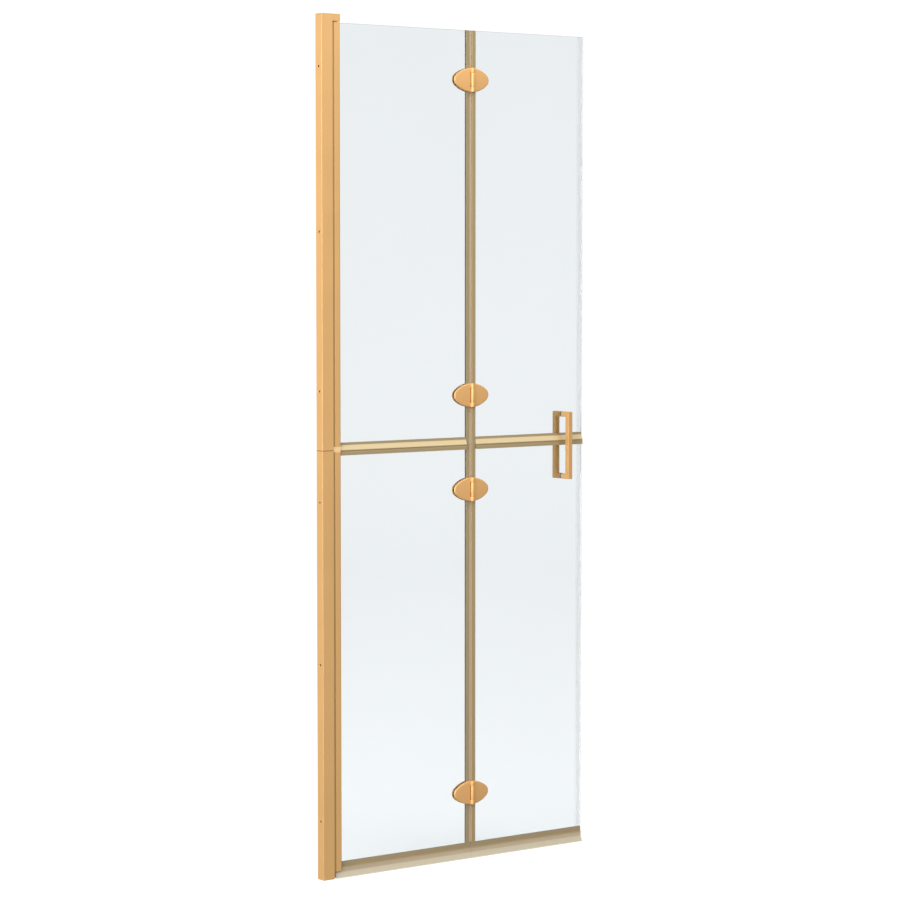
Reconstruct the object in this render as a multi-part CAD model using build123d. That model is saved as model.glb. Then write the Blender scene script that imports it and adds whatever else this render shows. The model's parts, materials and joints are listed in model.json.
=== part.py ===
from build123d import *
from math import atan2, cos, sin
import os

# Walk-in shower screen: a wall profile, a fixed leaf that slides in it to fit the wall, and a
# second leaf that folds on four hinges. Millimetres. X runs out from the wall, Y from the wet
# side in front to the back, and Z up. The origin is on the wall face, at floor level.

# Whole screen
screen_width = 740.0
screen_height = 1900.0
split_height = 950.0
fold_axis_x = 410.0
fold_axis_y = -11.0
touch_gap = 0.3
edge_round = 0.8

# Wall profile, a U section in an upper and a lower half
channel_depth = 29.0
channel_breadth = 24.0
channel_wall = 1.5
wall_hole_radius = 2.5
wall_hole_end_rise = 130.0
wall_hole_spacing = 348.0
wall_hole_end_drop = 114.0
cap_plate = 2.0
bottom_plug_height = 10.0
cap_drop = 14.0
plug_fit = 0.1
joiner_thickness = 2.0
joiner_breadth = 16.0
joiner_overhang = 20.0

# Post, the section that holds the glass and slides in the wall profile
post_back = 8.0
post_front = 49.0
post_wall = 1.4
post_slide_fit = 0.3
post_base = 16.0
post_cap_gap = 1.2
pocket_depth = 18.0
pocket_gasket_leg = 2.0
gasket_fit = 0.1
gasket_proud = 0.8
gasket_floor = 2.0
strip_spacer_height = 12.0
strip_above_split = 2.0

# Width adjustment: how far the post moves in and out of the wall profile
slide_in = 6.0
slide_out = 5.0
clamp_screw_x = 17.5
clamp_below_hole = 26.0
clamp_screw_radius = 2.0
clamp_hole_fit = 0.25
clamp_head_radius = 4.0
clamp_head_height = 2.4
clamp_nut_width = 8.0
clamp_nut_height = 10.0
clamp_nut_thickness = 3.0
thread_fit = 0.05
nut_slide_fit = 0.1

# Glass
glass_thickness = 5.0
glass_below_top = 18.0
glass_bottom = 20.3
pane_seam_gap = 9.0
pane_edge_inset = 7.0
pane_corner = 2.0

# Clip seals, which grip the panes' edges
clip_wall = 1.0
seam_clip_leg = 9.0
edge_clip_leg = 13.0
edge_bead_radius = 1.6
edge_fin = 1.2
seam_web = 1.4
seam_bulb_wall = 0.7
seam_bulb_sink = 0.25

# Middle strip, which joins an upper pane to a lower one and throws water forward
strip_wall = 1.2
strip_lip_up = 8.0
strip_lip_down = 8.0
strip_nose_reach = 8.0
strip_slope_top = 15.0
strip_slope_foot = 4.0
strip_groove_rise = 8.8
strip_groove = 1.5
strip_skirt = 2.4

# Bottom seal
seal_lip_top = 35.0
seal_body_top = 24.0
seal_body_foot = 13.0
seal_body_reach = 5.2
seal_fin_reach = 10.7
seal_fin = 1.2
seal_under_post = 15.4
seal_inner_end = 35.3

# Hinges, oval plates on both faces of the glass with a knuckle in front
hinge_above_floor = 151.0
hinge_below_split = 103.0
hinge_above_split = 111.0
hinge_below_top = 129.0
hinge_length = 96.0
hinge_height = 54.0
hinge_tip_radius = 15.0
hinge_front_thickness = 6.6
hinge_back_thickness = 6.0
hinge_dome_radius = 400.0
hinge_rim_round = 1.2
hinge_pad_thickness = 1.2
hinge_pad_inset = 1.5
hinge_pad_start = 14.2
knuckle_radius = 4.5
knuckle_gap = 0.8
knuckle_length = 53.4
middle_knuckle_length = 32.0
pin_radius = 1.5
pin_fit = 0.05
pin_short = 0.5
hinge_screw_out = 24.0
hinge_screw_rise = 11.0
hinge_screw_radius = 2.5
hinge_screw_bite = 3.6
hinge_screw_head_radius = 4.2
hinge_screw_head = 3.0
hinge_head_seat = 1.5
hinge_head_fit = 0.3
hinge_hole_fit = 0.3
hinge_glass_hole = 4.0
hex_key = 1.6
hex_depth = 1.8

# Handle, a square bar bent into a D on each face of the glass
handle_bar = 12.0
handle_inset = 62.0
handle_height = 156.0
handle_below_split = 12.5
handle_reach = 31.0
handle_washer = 1.2
handle_washer_radius = 6.0
stud_radius = 3.0
stud_bite = 10.0
stud_fit = 0.05
handle_glass_hole = 5.0
bush_wall_gap = 0.15
grub_radius = 2.0
grub_length = 2.6

glass_half = glass_thickness / 2
glass_top = screen_height - glass_below_top
pane_edge_x = screen_width - pane_edge_inset
handle_x = screen_width - handle_inset
handle_centre_z = split_height - handle_below_split
hinge_heights = {
    "bottom": hinge_above_floor,
    "lower_middle": split_height - hinge_below_split,
    "upper_middle": split_height + hinge_above_split,
    "top": screen_height - hinge_below_top,
}
lower_half = (0, split_height)
upper_half = (split_height, screen_height)
channel_half = channel_breadth / 2
post_half = channel_half - channel_wall - post_slide_fit
pocket_half = glass_half + pocket_gasket_leg
pocket_floor = post_front - pocket_depth
post_top = screen_height - cap_plate - cap_drop - post_cap_gap
strip_bottom = split_height + strip_above_split - strip_spacer_height / 2
strip_top = strip_bottom + strip_spacer_height
pane_inner_x = (pocket_floor + gasket_floor + touch_gap, fold_axis_x - pane_seam_gap / 2)
pane_outer_x = (fold_axis_x + pane_seam_gap / 2, pane_edge_x)
pane_lower_z = (glass_bottom, strip_bottom - touch_gap)
pane_upper_z = (strip_top + touch_gap, glass_top)
pad_face = glass_half + hinge_pad_thickness
arm_face = glass_half + handle_washer
handle_arm_rise = (handle_height - handle_bar) / 2
seam_room = pane_seam_gap - 2 * (touch_gap + seam_web)
seam_bulb_radius = (seam_room - touch_gap + seam_bulb_sink) / 2


def block(x_span, y_span, z_span):
    """A box between the low and high values given for X, Y and Z."""
    sizes = [high - low for low, high in (x_span, y_span, z_span)]
    middle = [(low + high) / 2 for low, high in (x_span, y_span, z_span)]
    return Pos(*middle) * Box(*sizes)


def upright(outline, low, high):
    """A closed outline in X and Y, drawn from one height up to another."""
    face = make_face(Polyline(*outline, close=True))
    return Pos(0, 0, low) * extrude(face, high - low)


def lengthwise(outline, left, right):
    """A closed section in Y and Z, drawn along X."""
    face = Plane.YZ * make_face(Polyline(*outline, close=True))
    return Pos(left, 0, 0) * extrude(face, right - left)


def rod_y(x, z, radius, y_span):
    """A round bar along Y."""
    low, high = y_span
    return Pos(x, (low + high) / 2, z) * Rot(90, 0, 0) * Cylinder(radius, high - low)


def rod_z(x, y, radius, z_span):
    """A round bar along Z."""
    low, high = z_span
    return Pos(x, y, (low + high) / 2) * Cylinder(radius, high - low)


def join(pieces):
    """One solid from pieces that meet."""
    first, *rest = pieces
    return first + rest if rest else first


def hole_heights(half):
    """Heights of the wall holes in one half of the wall profile, given its two ends."""
    foot, head = half
    first = foot + wall_hole_end_rise
    return [first, first + wall_hole_spacing, head - wall_hole_end_drop]


def clamp_heights(half):
    """Heights of the clamp screws, each a little below a wall hole."""
    return [height - clamp_below_hole for height in hole_heights(half)]


def wall_profile(low, high, half):
    """One half of the U section, with its wall holes and the holes of the clamp screws."""
    inner = channel_half - channel_wall
    section = [
        (0, -channel_half),
        (channel_depth, -channel_half),
        (channel_depth, -inner),
        (channel_wall, -inner),
        (channel_wall, inner),
        (channel_depth, inner),
        (channel_depth, channel_half),
        (0, channel_half),
    ]
    profile = upright(section, low, high)
    for height in hole_heights(half):
        profile -= wall_bore(height)
    for height in clamp_heights(half):
        hole = clamp_screw_radius + clamp_hole_fit
        profile -= rod_y(clamp_screw_x, height, hole, (0, channel_breadth))
    return profile


def wall_bore(height):
    """The space of a wall hole, through the web and the joiner strip."""
    depth = 2 * (channel_wall + joiner_thickness)
    return Pos(0, 0, height) * Rot(0, 90, 0) * Cylinder(wall_hole_radius, 2 * depth)


def profile_joiner():
    """A strip that lines up the two halves behind the middle wall holes."""
    low = hole_heights(lower_half)[-1]
    high = hole_heights(upper_half)[0]
    strip = block(
        (channel_wall, channel_wall + joiner_thickness),
        (-joiner_breadth / 2, joiner_breadth / 2),
        (low - joiner_overhang, high + joiner_overhang),
    )
    return strip - wall_bore(low) - wall_bore(high)


def channel_plug(z_span):
    """The tongue of a cap, which fills the end of the wall profile."""
    inner = channel_half - channel_wall - plug_fit
    return block((channel_wall + plug_fit, channel_depth), (-inner, inner), z_span)


def top_cap():
    """A plate over both sections, its tongue, and the block that covers the post."""
    plate_foot = screen_height - cap_plate
    drop = (plate_foot - cap_drop, plate_foot)
    across = (-channel_half, channel_half)
    plate = block((0, post_front), across, (plate_foot, screen_height))
    cover = block((channel_depth, post_front), across, drop)
    return plate + cover + channel_plug(drop)


def bottom_cap():
    """A plate and tongue that close the foot of the wall profile."""
    across = (-channel_half, channel_half)
    plate = block((0, channel_depth), across, (0, cap_plate))
    return plate + channel_plug((cap_plate, cap_plate + bottom_plug_height))


def clamp_points():
    """Heights of all the clamp screws, lower half then upper half."""
    return clamp_heights(lower_half) + clamp_heights(upper_half)


def clamp_screw(height):
    """A pan head screw through the back flange of the wall profile."""
    nut_back = post_half - post_wall - nut_slide_fit - clamp_nut_thickness
    head_span = (channel_half, channel_half + clamp_head_height)
    shank = rod_y(clamp_screw_x, height, clamp_screw_radius, (nut_back, channel_half))
    head = rod_y(clamp_screw_x, height, clamp_head_radius, head_span)
    head = fillet(head.edges().sort_by(Axis.Y)[-1], edge_round)
    return shank + head - hex_socket(clamp_screw_x, height, head_span[1])


def hex_socket(x, z, face_y):
    """The recess for a hex key in a screw head that faces the back."""
    key = Plane.XZ * RegularPolygon(hex_key, 6)
    return Pos(x, face_y - hex_depth, z) * extrude(key, -2 * hex_depth)


def clamp_nut(height):
    """A nut plate behind the side wall of the post."""
    face = post_half - post_wall - nut_slide_fit
    half_width = clamp_nut_width / 2
    plate = block(
        (clamp_screw_x - half_width, clamp_screw_x + half_width),
        (face - clamp_nut_thickness, face),
        (height - clamp_nut_height / 2, height + clamp_nut_height / 2),
    )
    return plate - rod_y(clamp_screw_x, height, clamp_screw_radius + thread_fit, (0, channel_half))


def post(low, high, half):
    """One half of the glass post: two side walls, a web, and the pocket for the pane."""
    side_face = post_half - post_wall
    pocket_face = pocket_half + post_wall
    z_span = (low, high)
    web = block((pocket_floor - post_wall, pocket_floor), (-post_half, post_half), z_span)
    walls = []
    for side in (-1, 1):
        side_span = sorted((side * side_face, side * post_half))
        pocket_span = sorted((side * pocket_half, side * pocket_face))
        end_span = sorted((side * pocket_half, side * post_half))
        walls.append(block((post_back, post_front), side_span, z_span))
        walls.append(block((pocket_floor, post_front), pocket_span, z_span))
        walls.append(block((post_front - post_wall, post_front), end_span, z_span))
    profile = join([web] + walls)
    nose = profile.edges().filter_by(Axis.Z).group_by(Axis.X)[-1].sort_by(Axis.Y)
    profile = fillet([nose[0], nose[-1]], edge_round)
    for height in clamp_heights(half):
        profile -= clamp_slot(height)
    return profile


def clamp_slot(height):
    """The slot that lets the post slide past a clamp screw."""
    radius = clamp_screw_radius + clamp_hole_fit
    span = (post_half - 2 * post_wall, channel_half)
    ends = (clamp_screw_x - slide_out, clamp_screw_x + slide_in)
    middle = block(ends, span, (height - radius, height + radius))
    return middle + rod_y(ends[0], height, radius, span) + rod_y(ends[1], height, radius, span)


def post_spacer():
    """The block between the two halves of the post, at the middle strip."""
    reach = post_half - post_slide_fit / 2
    return block(
        (pocket_floor - post_wall, post_front), (-reach, reach), (strip_bottom, strip_top)
    )


def post_gasket(low, high):
    """A soft U section that holds the pane in its pocket."""
    outer = pocket_half - gasket_fit
    floor = pocket_floor + gasket_fit
    front = post_front + gasket_proud
    section = [
        (floor, -outer),
        (front, -outer),
        (front, -glass_half),
        (floor + gasket_floor, -glass_half),
        (floor + gasket_floor, glass_half),
        (front, glass_half),
        (front, outer),
        (floor, outer),
    ]
    return upright(section, low, high)


def hinge_screw_places(side):
    """The two screws of a hinge plate, as X and height above the hinge's middle."""
    x = fold_axis_x + side * hinge_screw_out
    return [(x, -hinge_screw_rise), (x, hinge_screw_rise)]


def pane(x_span, z_span, side, handle_hole_z=None):
    """A sheet of glass with its hinge holes, and the handle's hole in the folding leaf."""
    sheet = block(x_span, (-glass_half, glass_half), z_span)
    sheet = fillet(sheet.edges().filter_by(Axis.Y), pane_corner)
    through = (-glass_thickness, glass_thickness)
    for height in hinge_heights.values():
        if z_span[0] < height < z_span[1]:
            for x, rise in hinge_screw_places(side):
                sheet -= rod_y(x, height + rise, hinge_glass_hole, through)
    if handle_hole_z is not None:
        sheet -= rod_y(handle_x, handle_hole_z, handle_glass_hole, through)
    return sheet


def seam_seal(side, low, high):
    """A clip on the edge of a pane at the fold. The fixed leaf's one carries a hollow bulb."""
    edge = fold_axis_x + side * pane_seam_gap / 2
    tip = edge - side * touch_gap
    back = edge + side * seam_clip_leg
    front = tip - side * seam_web
    reach = glass_half + clip_wall
    legs = [
        block(sorted((back, tip)), sorted((face * glass_half, face * reach)), (low, high))
        for face in (-1, 1)
    ]
    web = block(sorted((tip, front)), (-reach, reach), (low, high))
    clip = join([web] + legs)
    if side > 0:
        return clip
    middle_x = front + seam_bulb_radius - seam_bulb_sink
    bulb = rod_z(middle_x, 0, seam_bulb_radius, (low, high))
    hollow = rod_z(middle_x, 0, seam_bulb_radius - seam_bulb_wall, (low, high))
    return clip + (bulb - hollow - block((tip, front), (-reach, reach), (low, high)))


def edge_seal(low, high):
    """The clear clip on the free edge, with a bead along its tip."""
    reach = glass_half + clip_wall
    web_face = pane_edge_x + touch_gap
    legs = [
        block(
            (pane_edge_x - edge_clip_leg, web_face + clip_wall),
            sorted((face * glass_half, face * reach)),
            (low, high),
        )
        for face in (-1, 1)
    ]
    web = block((web_face, web_face + clip_wall), (-reach, reach), (low, high))
    bead_x = screen_width - edge_bead_radius
    fin = block((web_face, bead_x), (-edge_fin / 2, edge_fin / 2), (low, high))
    return join([web, fin, rod_z(bead_x, 0, edge_bead_radius, (low, high))] + legs)


def middle_strip(left, right):
    """An H section between the panes, with a sloped nose and a grooved skirt in front."""
    reach = glass_half + strip_wall
    foot = strip_bottom - strip_lip_down
    slope_top = strip_bottom + strip_slope_top
    slope_foot = strip_bottom + strip_slope_foot
    groove = foot + strip_groove_rise
    web = lengthwise(
        [(-reach, strip_bottom), (reach, strip_bottom), (reach, strip_top), (-reach, strip_top)],
        left,
        right,
    )
    legs = [
        block((left, right), sorted((face * glass_half, face * reach)), (foot, strip_top + strip_lip_up))
        for face in (-1, 1)
    ]
    nose = [
        (-reach, slope_top),
        (-strip_nose_reach, slope_foot),
        (-strip_nose_reach, groove + strip_groove),
        (-strip_nose_reach + strip_groove, groove),
        (-strip_nose_reach, groove - strip_groove),
        (-strip_nose_reach, foot),
        (-strip_nose_reach + strip_skirt, foot),
        (-strip_nose_reach + strip_skirt, slope_foot - strip_wall),
        (-reach, slope_top - strip_skirt),
    ]
    return join([web] + legs + [lengthwise(nose, left, right)])


def bottom_seal(left, right):
    """A clip under the panes with a slanted fin in front and an upright wiper."""
    reach = glass_half + strip_wall
    wiper = seal_fin / 2
    section = [
        (-reach, seal_lip_top),
        (-glass_half, seal_lip_top),
        (-glass_half, glass_bottom),
        (glass_half, glass_bottom),
        (glass_half, seal_lip_top),
        (reach, seal_lip_top),
        (reach, seal_body_foot),
        (wiper, seal_body_foot),
        (wiper, 0),
        (-wiper, 0),
        (-wiper, seal_body_foot),
        (-seal_body_reach + seal_fin, seal_body_foot),
        (-seal_fin_reach + seal_fin, 0),
        (-seal_fin_reach, 0),
        (-seal_body_reach, seal_body_foot),
        (-seal_body_reach, seal_body_top),
        (-reach, seal_body_top),
    ]
    return lengthwise(section, left, right)


def bottom_seal_inner():
    """The fixed leaf's bottom seal, cut low where it runs on under the post."""
    seal = bottom_seal(seal_inner_end, fold_axis_x - touch_gap)
    clear = post_front + gasket_proud + touch_gap
    over = block((0, clear), (-channel_half, channel_half), (seal_under_post, seal_lip_top + 1))
    return seal - over


def bottom_seal_outer():
    """The folding leaf's bottom seal."""
    return bottom_seal(fold_axis_x + touch_gap, pane_edge_x)


def oval_face(inset):
    """The hinges' oval, two long arcs joined by round tips, or one a little smaller all round."""
    half = hinge_length / 2 - inset
    rise = hinge_height / 2 - inset
    tip = hinge_tip_radius - inset
    long_radius = (half**2 + rise**2 - 2 * half * tip) / (2 * (rise - tip))
    turn = atan2(long_radius - rise, half - tip)
    x = half - tip + tip * cos(turn)
    z = tip * sin(turn)
    arcs = [
        ThreePointArc((-x, z), (0, rise), (x, z)),
        ThreePointArc((x, z), (half, 0), (x, -z)),
        ThreePointArc((x, -z), (0, -rise), (-x, -z)),
        ThreePointArc((-x, -z), (-half, 0), (-x, z)),
    ]
    return Plane.XZ * make_face(arcs)


def domed_oval(thickness, facing):
    """A domed oval with a rounded rim, lying flat on the pads of one face of the glass."""
    solid = Pos(0, facing * pad_face, 0) * extrude(oval_face(0), -facing * thickness)
    dome_y = facing * (pad_face + thickness - hinge_dome_radius)
    solid &= Pos(0, dome_y, 0) * Sphere(hinge_dome_radius)
    dome = solid.faces().sort_by(Axis.Y)[0 if facing < 0 else -1]
    return Pos(fold_axis_x, 0, 0) * fillet(dome.edges(), hinge_rim_round)


def one_side(side, start):
    """The room on one side of the fold axis, from a distance out."""
    near = fold_axis_x + side * start
    far = fold_axis_x + side * hinge_length
    return block(sorted((near, far)), (-hinge_length, hinge_length), (-hinge_length, hinge_length))


def knuckle_spans(side):
    """Heights of the knuckles: the folding leaf has the long middle one."""
    middle = middle_knuckle_length / 2
    end = knuckle_length / 2
    if side > 0:
        return [(-middle, middle)]
    clear = middle + touch_gap
    return [(-end, -clear), (clear, end)]


def hinge_front(side):
    """A front plate with its knuckles, bored for the pin and tapped for the screws."""
    plate = domed_oval(hinge_front_thickness, -1) & one_side(side, knuckle_radius + knuckle_gap)
    root = fold_axis_x + side * (knuckle_radius + 2 * knuckle_gap)
    face = -(pad_face + hinge_front_thickness / 2)
    for span in knuckle_spans(side):
        plate += rod_z(fold_axis_x, fold_axis_y, knuckle_radius, span)
        plate += block(sorted((fold_axis_x, root)), (fold_axis_y, face), span)
    bore = (-knuckle_length, knuckle_length)
    plate -= rod_z(fold_axis_x, fold_axis_y, pin_radius + pin_fit, bore)
    for x, z in hinge_screw_places(side):
        tapped = (-(pad_face + hinge_screw_bite + thread_fit), 0)
        plate -= rod_y(x, z, hinge_screw_radius + thread_fit, tapped)
    return plate


def hinge_back(side):
    """A back plate, counterbored for the screw heads."""
    plate = domed_oval(hinge_back_thickness, 1) & one_side(side, knuckle_radius + knuckle_gap)
    seat = pad_face + hinge_head_seat
    head_room = hinge_screw_head_radius + hinge_head_fit
    for x, z in hinge_screw_places(side):
        plate -= rod_y(x, z, hinge_screw_radius + hinge_hole_fit, (0, seat))
        plate -= rod_y(x, z, head_room, (seat, seat + hinge_back_thickness))
    return plate


def hinge_pin():
    """The pin through all the knuckles of a hinge."""
    half = knuckle_length / 2 - pin_short
    return rod_z(fold_axis_x, fold_axis_y, pin_radius, (-half, half))


def hinge_screw(x, z):
    """A screw from the back plate through the glass into the front plate."""
    seat = pad_face + hinge_head_seat
    shank = rod_y(x, z, hinge_screw_radius, (-(pad_face + hinge_screw_bite), seat))
    head = rod_y(x, z, hinge_screw_head_radius, (seat, seat + hinge_screw_head))
    return shank + head - hex_socket(x, z, seat + hinge_screw_head)


def hinge_pad(side, facing):
    """The soft pad between a plate and the glass."""
    sheet = Pos(fold_axis_x, facing * glass_half, 0) * oval_face(hinge_pad_inset)
    pad = extrude(sheet, -facing * hinge_pad_thickness) & one_side(side, hinge_pad_start)
    for x, z in hinge_screw_places(side):
        through = (-channel_breadth, channel_breadth)
        pad -= rod_y(x, z, hinge_screw_radius + hinge_hole_fit, through)
    return pad


def handle_arm_places():
    """Heights of the two arms of the handle."""
    return [handle_centre_z - handle_arm_rise, handle_centre_z + handle_arm_rise]


def handle(facing):
    """A D of square bar on one face of the glass, with blind bores for the studs."""
    half = handle_bar / 2
    across = (handle_x - half, handle_x + half)
    bar_y = sorted((facing * handle_reach, facing * (handle_reach - handle_bar)))
    height = (handle_centre_z - handle_height / 2, handle_centre_z + handle_height / 2)
    body = block(across, bar_y, height)
    for z in handle_arm_places():
        arm_y = sorted((facing * arm_face, facing * handle_reach))
        body += block(across, arm_y, (z - half, z + half))
    outer = body.edges().filter_by(Axis.Z).group_by(Axis.Y)
    outer = outer[0] if facing < 0 else outer[-1]
    body = fillet(outer, edge_round)
    bore = stud_radius + stud_fit
    for z in handle_arm_places():
        depth = sorted((0, facing * (arm_face + stud_bite + stud_fit)))
        body -= rod_y(handle_x, z, bore, depth)
        if facing > 0:
            body -= grub_bore(z)
    return body


def grub_y():
    """Where the grub screws cross the studs in the back handle."""
    return arm_face + stud_bite / 2


def grub_span(z):
    """Heights that a grub screw fills, up to the stud from below."""
    face = z - stud_radius - stud_fit
    return (face - grub_length, face)


def grub_bore(z):
    """The tapped hole under an arm of the back handle."""
    low, high = grub_span(z)
    return rod_z(handle_x, grub_y(), grub_radius + thread_fit, (low - handle_bar, high))


def handle_studs():
    """Threaded studs that run through the glass from arm to arm."""
    reach = arm_face + stud_bite
    return [rod_y(handle_x, z, stud_radius, (-reach, reach)) for z in handle_arm_places()]


def handle_grubs():
    """Grub screws that lock the back handle on its studs."""
    return [rod_z(handle_x, grub_y(), grub_radius, grub_span(z)) for z in handle_arm_places()]


def handle_washers():
    """Soft washers between the arms and the glass."""
    rings = []
    for z in handle_arm_places():
        for facing in (-1, 1):
            span = sorted((facing * glass_half, facing * arm_face))
            ring = rod_y(handle_x, z, handle_washer_radius, span)
            rings.append(ring - rod_y(handle_x, z, stud_radius + stud_fit, span))
    return rings


def handle_bushes():
    """Nylon bushes that keep the studs off the edges of the glass holes."""
    bushes = []
    for z in handle_arm_places():
        span = (-glass_half, glass_half)
        bush = rod_y(handle_x, z, handle_glass_hole - bush_wall_gap, span)
        bushes.append(bush - rod_y(handle_x, z, stud_radius + stud_fit, span))
    return bushes


def build_nodes():
    """Every piece of the screen by name; a list is a group of separate solids."""
    handle_low, handle_high = handle_arm_places()
    strip_left = post_front + gasket_proud + touch_gap
    seam_back = pane_seam_gap / 2 + seam_clip_leg + touch_gap
    lip_top = strip_top + strip_lip_up + touch_gap
    lip_foot = strip_bottom - strip_lip_down - touch_gap
    seal_top = seal_lip_top + touch_gap
    plate_foot = screen_height - cap_plate
    nodes = {
        "wall_profile_lower": wall_profile(cap_plate, split_height, lower_half),
        "wall_profile_upper": wall_profile(split_height, plate_foot, upper_half),
        "profile_joiner": profile_joiner(),
        "top_cap": top_cap(),
        "bottom_cap": bottom_cap(),
        "clamp_screws": [clamp_screw(z) for z in clamp_points()],
        "clamp_nuts": [clamp_nut(z) for z in clamp_points()],
        "post_lower": post(post_base, strip_bottom, lower_half),
        "post_upper": post(strip_top, post_top, upper_half),
        "post_spacer": post_spacer(),
        "post_gasket_lower": post_gasket(post_base, strip_bottom),
        "post_gasket_upper": post_gasket(strip_top, glass_top),
        "pane_inner_lower": pane(pane_inner_x, pane_lower_z, -1),
        "pane_inner_upper": pane(pane_inner_x, pane_upper_z, -1),
        "middle_strip_inner": middle_strip(strip_left, fold_axis_x - seam_back),
        "bottom_seal_inner": bottom_seal_inner(),
        "seam_seal_inner_lower": seam_seal(-1, seal_top, split_height),
        "seam_seal_inner_upper": seam_seal(-1, split_height, glass_top),
        "pane_outer_lower": pane(pane_outer_x, pane_lower_z, 1, handle_low),
        "pane_outer_upper": pane(pane_outer_x, pane_upper_z, 1, handle_high),
        "middle_strip_outer": middle_strip(fold_axis_x + seam_back, pane_edge_x),
        "bottom_seal_outer": bottom_seal_outer(),
        "seam_seal_outer_lower": seam_seal(1, seal_top, split_height),
        "seam_seal_outer_upper": seam_seal(1, split_height, glass_top),
        "edge_seal_lower": edge_seal(seal_top, lip_foot),
        "edge_seal_upper": edge_seal(lip_top, glass_top),
        "handle_front": handle(-1),
        "handle_back": handle(1),
        "handle_studs": handle_studs(),
        "handle_washers": handle_washers(),
        "handle_bushes": handle_bushes(),
        "handle_grub_screws": handle_grubs(),
    }
    nodes.update(hinge_nodes())
    return nodes


def hinge_nodes():
    """The hinges' pieces, made once about the middle of a hinge and repeated up the seam."""
    nodes = {}
    pieces = {"pin": hinge_pin()}
    for leaf, side in (("inner", -1), ("outer", 1)):
        pieces[f"front_{leaf}"] = hinge_front(side)
        pieces[f"back_{leaf}"] = hinge_back(side)
        screws = [hinge_screw(x, z) for x, z in hinge_screw_places(side)]
        pads = [hinge_pad(side, facing) for facing in (-1, 1)]
        nodes[f"hinge_screws_{leaf}"] = up_the_seam(screws)
        nodes[f"hinge_pads_{leaf}"] = up_the_seam(pads)
    for place, height in hinge_heights.items():
        for name, piece in pieces.items():
            nodes[f"hinge_{place}_{name}"] = Pos(0, 0, height) * piece
    return nodes


def up_the_seam(pieces):
    """Copies of some pieces at the height of every hinge."""
    return [Pos(0, 0, height) * piece for height in hinge_heights.values() for piece in pieces]


def solids_of(item):
    """The separate solids of a piece or of a group."""
    pieces = item if isinstance(item, list) else [item]
    return [solid for piece in pieces for solid in piece.solids()]


os.makedirs("parts", exist_ok=True)
for name, item in build_nodes().items():
    solids = solids_of(item)
    shape = solids[0] if len(solids) == 1 else Compound(children=solids)
    export_step(shape, os.path.join("parts", name + ".step"))
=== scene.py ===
import json
import math

import bmesh
import bpy
from mathutils import Matrix, Vector

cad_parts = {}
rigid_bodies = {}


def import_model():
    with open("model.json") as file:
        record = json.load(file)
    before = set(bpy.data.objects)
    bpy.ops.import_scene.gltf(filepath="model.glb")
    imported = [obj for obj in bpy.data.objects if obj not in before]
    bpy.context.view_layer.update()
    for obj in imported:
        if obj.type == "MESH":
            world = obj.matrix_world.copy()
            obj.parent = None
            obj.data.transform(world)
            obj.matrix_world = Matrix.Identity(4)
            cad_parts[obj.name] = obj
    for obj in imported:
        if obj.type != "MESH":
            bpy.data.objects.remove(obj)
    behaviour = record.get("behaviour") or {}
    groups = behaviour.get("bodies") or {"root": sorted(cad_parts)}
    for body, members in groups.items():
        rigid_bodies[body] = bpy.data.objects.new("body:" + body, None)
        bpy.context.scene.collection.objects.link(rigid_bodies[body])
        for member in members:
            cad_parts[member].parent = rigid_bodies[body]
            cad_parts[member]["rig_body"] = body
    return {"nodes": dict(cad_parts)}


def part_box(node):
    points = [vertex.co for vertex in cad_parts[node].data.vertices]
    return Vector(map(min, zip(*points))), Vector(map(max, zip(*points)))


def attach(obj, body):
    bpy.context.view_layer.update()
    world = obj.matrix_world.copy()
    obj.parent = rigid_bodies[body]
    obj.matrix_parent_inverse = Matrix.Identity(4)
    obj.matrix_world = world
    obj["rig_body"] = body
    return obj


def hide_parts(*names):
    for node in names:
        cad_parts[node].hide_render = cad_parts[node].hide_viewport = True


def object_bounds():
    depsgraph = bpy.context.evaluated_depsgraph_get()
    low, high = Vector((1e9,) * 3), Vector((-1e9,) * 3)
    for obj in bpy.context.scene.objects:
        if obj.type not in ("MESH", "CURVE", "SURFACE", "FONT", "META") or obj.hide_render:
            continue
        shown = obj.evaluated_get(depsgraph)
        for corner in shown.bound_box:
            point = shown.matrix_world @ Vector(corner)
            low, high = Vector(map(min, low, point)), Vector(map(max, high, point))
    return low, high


bl_info = {
    "name": "Walk-in shower screen finishes",
    "version": (1, 0, 0),
    "blender": (4, 5, 0),
    "location": "3D View > Sidebar > Shower Screen",
    "description": "Finishes the packed shower screen in gold, glass and tinted seals",
    "category": "Object",
}

# Everything is in metres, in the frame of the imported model: X out from the wall, Y from the
# front to the back, Z up, with the origin on the wall face at floor level.
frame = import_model()
cad_low, cad_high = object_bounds()

MM = 0.001
SAME_POINT = 1e-6
FLAT_ENOUGH = math.radians(0.5)
EASED_FROM = math.radians(40)
SHARP_CORNER = math.radians(30)
SHARP_ON_PLATE = math.radians(35)
SHARP_ON_SCREW = math.radians(25)
PLACES = ("bottom", "lower_middle", "upper_middle", "top")
LEAVES = {"inner": -1, "outer": 1}
FACES = {"front": -1, "back": 1}


# Nodes
class Term:
    """A value on its way through a node tree, which takes Python's own operators."""

    def __init__(self, maker, socket):
        self.maker = maker
        self.socket = socket

    def combine(self, operation, other):
        values = {0: self, 1: other}
        return self.maker.node("ShaderNodeMath", {"operation": operation}, values)

    def __add__(self, other):
        return self.combine("ADD", other)

    def __sub__(self, other):
        return self.combine("SUBTRACT", other)

    def __mul__(self, other):
        return self.combine("MULTIPLY", other)

    def __lt__(self, other):
        return self.combine("LESS_THAN", other)

    def __gt__(self, other):
        return self.combine("GREATER_THAN", other)

    __radd__ = __add__


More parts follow.
